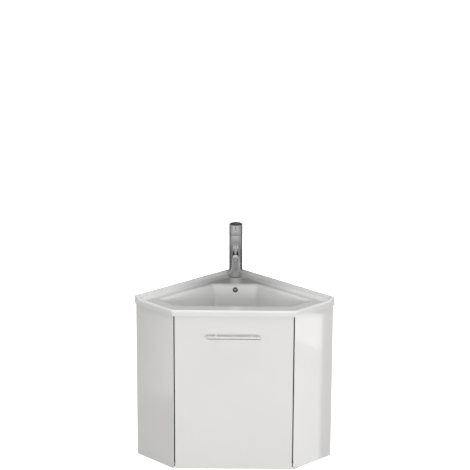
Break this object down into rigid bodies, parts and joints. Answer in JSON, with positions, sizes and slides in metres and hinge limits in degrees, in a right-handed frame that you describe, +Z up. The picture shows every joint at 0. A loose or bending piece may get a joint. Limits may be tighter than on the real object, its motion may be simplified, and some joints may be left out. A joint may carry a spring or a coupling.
{
  "type": "corner vanity unit",
  "caption": "Corner vanity: five-sided wall-hung cabinet with a gloss white door, corner basin with raised rim, single-lever tap and waste trap.",
  "frame": {"origin": "middle of the bounding box in plan, at the cabinet's foot", "axes": "+Z up; the door and handle face -Y; the right-angled room corner lies at +Y; +X to the right of someone facing the door"},
  "size_m": [0.7146, 0.5282, 0.798],
  "materials": {
    "gloss_white_board": "white high-gloss lacquer on fibreboard",
    "white_board": "white melamine-faced chipboard",
    "basin_white": "white glazed, glossy",
    "chrome": "polished chrome plate",
    "handle_steel": "satin steel",
    "zinc_steel": "zinc-plated and nickel-plated steel",
    "brass": "turned brass",
    "black_rubber": "matt black rubber",
    "white_plastic": "white moulded polypropylene",
    "ivory_plastic": "ivory moulded plastic"
  },
  "bodies": {
    "cabinet": {"side_panel_left": "gloss_white_board", "side_panel_right": "gloss_white_board", "bottom_panel": "white_board", "hanging_rail_left": "white_board", "hanging_rail_right": "white_board", "foot_rail_left": "white_board", "foot_rail_right": "white_board", "front_rail": "white_board", "shelf": "white_board", "shelf_pins": "zinc_steel", "door_bumpers": "black_rubber", "door_seals": "black_rubber", "hinge_arms": "zinc_steel", "hinge_plates": "zinc_steel", "hinge_screws": "zinc_steel", "basin": "basin_white", "overflow_ring": "chrome", "waste_body": "chrome", "waste_gasket": "black_rubber", "waste_nut": "white_plastic", "trap_inlet_nut": "white_plastic", "trap_dip_tube": "white_plastic", "trap_head_nut": "white_plastic", "trap_head": "white_plastic", "trap_cup": "white_plastic", "trap_outlet_nut": "white_plastic", "trap_outlet_pipe": "white_plastic", "wall_rosette": "white_plastic", "tap_base_seal": "black_rubber", "tap_body": "chrome", "tap_spout": "chrome", "tap_aerator": "chrome", "tap_shank": "brass", "tap_washer": "black_rubber", "tap_nut": "brass", "tap_cartridge": "ivory_plastic"},
    "door": {"door_panel": "gloss_white_board", "hinge_cups": "zinc_steel", "cup_screws": "zinc_steel", "hinge_pins": "zinc_steel", "handle_bar": "handle_steel", "handle_posts": "handle_steel", "handle_screws": "zinc_steel"},
    "dome": {"cartridge_dome": "chrome", "dome_pin": "zinc_steel"},
    "lever": {"lever_stem": "zinc_steel", "lever_cap": "chrome", "lever_rod": "chrome", "lever_plug": "chrome"},
    "plug": {"waste_plug": "chrome", "plug_seal": "black_rubber"}
  },
  "joints": [
    {"name": "door_swing", "type": "hinge", "parent": "cabinet", "child": "door", "pos_m": [-0.20206, -0.22007, 0.307], "axis": [0, 0, -1], "range_deg": [0, 95]},
    {"name": "lever_turn", "type": "hinge", "parent": "cabinet", "child": "dome", "pos_m": [0, 0.19807, 0.762], "axis": [0, 0, 1], "range_deg": [-45, 45]},
    {"name": "lever_lift", "type": "hinge", "parent": "dome", "child": "lever", "pos_m": [0, 0.19807, 0.762], "axis": [-1, 0, 0], "range_deg": [0, 22]},
    {"name": "plug_push", "type": "slide", "parent": "cabinet", "child": "plug", "axis": [0, 0, 1], "range_m": [0, 0.006]}
  ]
}
